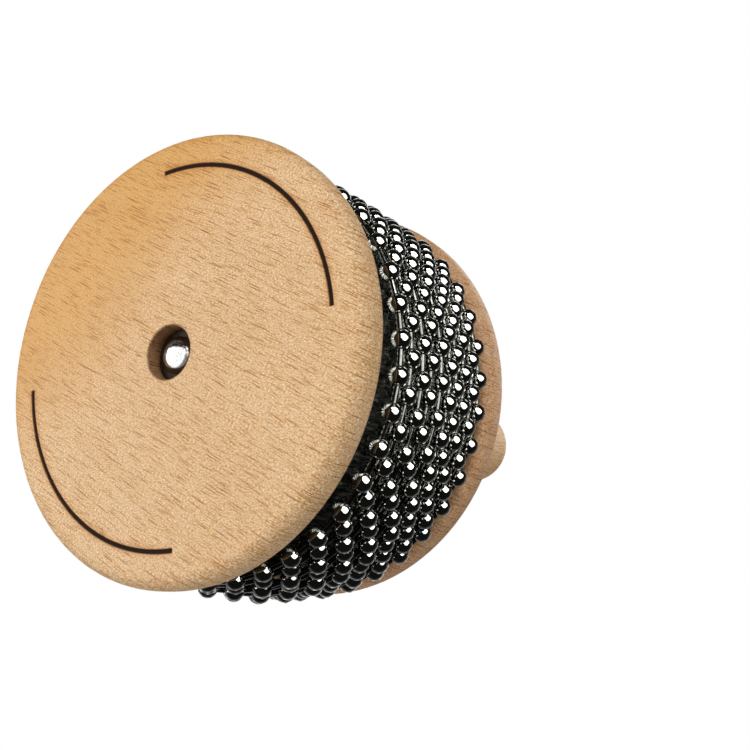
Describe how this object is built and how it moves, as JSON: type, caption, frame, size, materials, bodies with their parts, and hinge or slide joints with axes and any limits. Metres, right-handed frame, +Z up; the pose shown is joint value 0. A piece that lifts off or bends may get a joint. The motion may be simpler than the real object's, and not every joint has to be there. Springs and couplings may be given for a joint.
{
  "type": "cabasa",
  "caption": "Hand-held percussion instrument: beech end discs on a grooved steel drum wrapped in loose loops of steel ball chain, on a turned beech handle.",
  "frame": {"origin": "on the common axis, at the middle of the handle's straight grip", "axes": "+Y along the common axis from the front face to the handle's free end; +Z up, with the bead loops hanging down; +X to the right seen from the front"},
  "size_m": [0.1273, 0.196, 0.1282],
  "materials": {
    "beech_disc": "oiled beech with short dark flecks",
    "beech_handle": "oiled turned beech",
    "plywood": "raw birch plywood",
    "tube_plastic": "matt grey pipe",
    "sleeve_steel": "dark steel sheet with fine grooves",
    "bead_steel": "dark nickel plate, mirror bright",
    "bolt_steel": "bright zinc plate",
    "washer_steel": "zinc plate",
    "insert_brass": "plain machined brass",
    "screw_brass": "yellow passivated"
  },
  "bodies": {
    "instrument": {"front_disc": "beech_disc", "rear_disc": "beech_disc", "core_tube": "tube_plastic", "grooved_sleeve": "sleeve_steel", "front_plug": "plywood", "rear_plug": "plywood", "front_plug_screws": "screw_brass", "rear_plug_screws": "screw_brass", "centre_bolt": "bolt_steel", "front_washer": "washer_steel", "handle_insert": "insert_brass", "handle": "beech_handle"},
    "loop_01": {"bead_loop_01": "bead_steel"},
    "loop_02": {"bead_loop_02": "bead_steel"},
    "loop_03": {"bead_loop_03": "bead_steel"},
    "loop_04": {"bead_loop_04": "bead_steel"},
    "loop_05": {"bead_loop_05": "bead_steel"},
    "loop_06": {"bead_loop_06": "bead_steel"},
    "loop_07": {"bead_loop_07": "bead_steel"},
    "loop_08": {"bead_loop_08": "bead_steel"},
    "loop_09": {"bead_loop_09": "bead_steel"},
    "loop_10": {"bead_loop_10": "bead_steel"}
  },
  "joints": [
    {"name": "loop_01_turn", "type": "hinge", "parent": "instrument", "child": "loop_01", "pos_m": [0, -0.1174, -0.00053], "axis": [0, 1, 0], "continuous": true},
    {"name": "loop_02_turn", "type": "hinge", "parent": "instrument", "child": "loop_02", "pos_m": [0, -0.1126, -0.00082], "axis": [0, 1, 0], "continuous": true},
    {"name": "loop_03_turn", "type": "hinge", "parent": "instrument", "child": "loop_03", "pos_m": [0, -0.1078, -0.0016], "axis": [0, 1, 0], "continuous": true},
    {"name": "loop_04_turn", "type": "hinge", "parent": "instrument", "child": "loop_04", "pos_m": [0, -0.103, -0.00148], "axis": [0, 1, 0], "continuous": true},
    {"name": "loop_05_turn", "type": "hinge", "parent": "instrument", "child": "loop_05", "pos_m": [0, -0.0982, -0.00199], "axis": [0, 1, 0], "continuous": true},
    {"name": "loop_06_turn", "type": "hinge", "parent": "instrument", "child": "loop_06", "pos_m": [0, -0.0934, -0.00205], "axis": [0, 1, 0], "continuous": true},
    {"name": "loop_07_turn", "type": "hinge", "parent": "instrument", "child": "loop_07", "pos_m": [0, -0.0886, -0.00152], "axis": [0, 1, 0], "continuous": true},
    {"name": "loop_08_turn", "type": "hinge", "parent": "instrument", "child": "loop_08", "pos_m": [0, -0.0838, -0.00144], "axis": [0, 1, 0], "continuous": true},
    {"name": "loop_09_turn", "type": "hinge", "parent": "instrument", "child": "loop_09", "pos_m": [0, -0.079, -0.00158], "axis": [0, 1, 0], "continuous": true},
    {"name": "loop_10_turn", "type": "hinge", "parent": "instrument", "child": "loop_10", "pos_m": [0, -0.0742, -0.00141], "axis": [0, 1, 0], "continuous": true}
  ],
  "couplings": [
    {"joint": "loop_02_turn", "follows": "loop_01_turn", "ratio": 1},
    {"joint": "loop_03_turn", "follows": "loop_01_turn", "ratio": 1},
    {"joint": "loop_04_turn", "follows": "loop_01_turn", "ratio": 1},
    {"joint": "loop_05_turn", "follows": "loop_01_turn", "ratio": 1},
    {"joint": "loop_06_turn", "follows": "loop_01_turn", "ratio": 1},
    {"joint": "loop_07_turn", "follows": "loop_01_turn", "ratio": 1},
    {"joint": "loop_08_turn", "follows": "loop_01_turn", "ratio": 1},
    {"joint": "loop_09_turn", "follows": "loop_01_turn", "ratio": 1},
    {"joint": "loop_10_turn", "follows": "loop_01_turn", "ratio": 1}
  ]
}
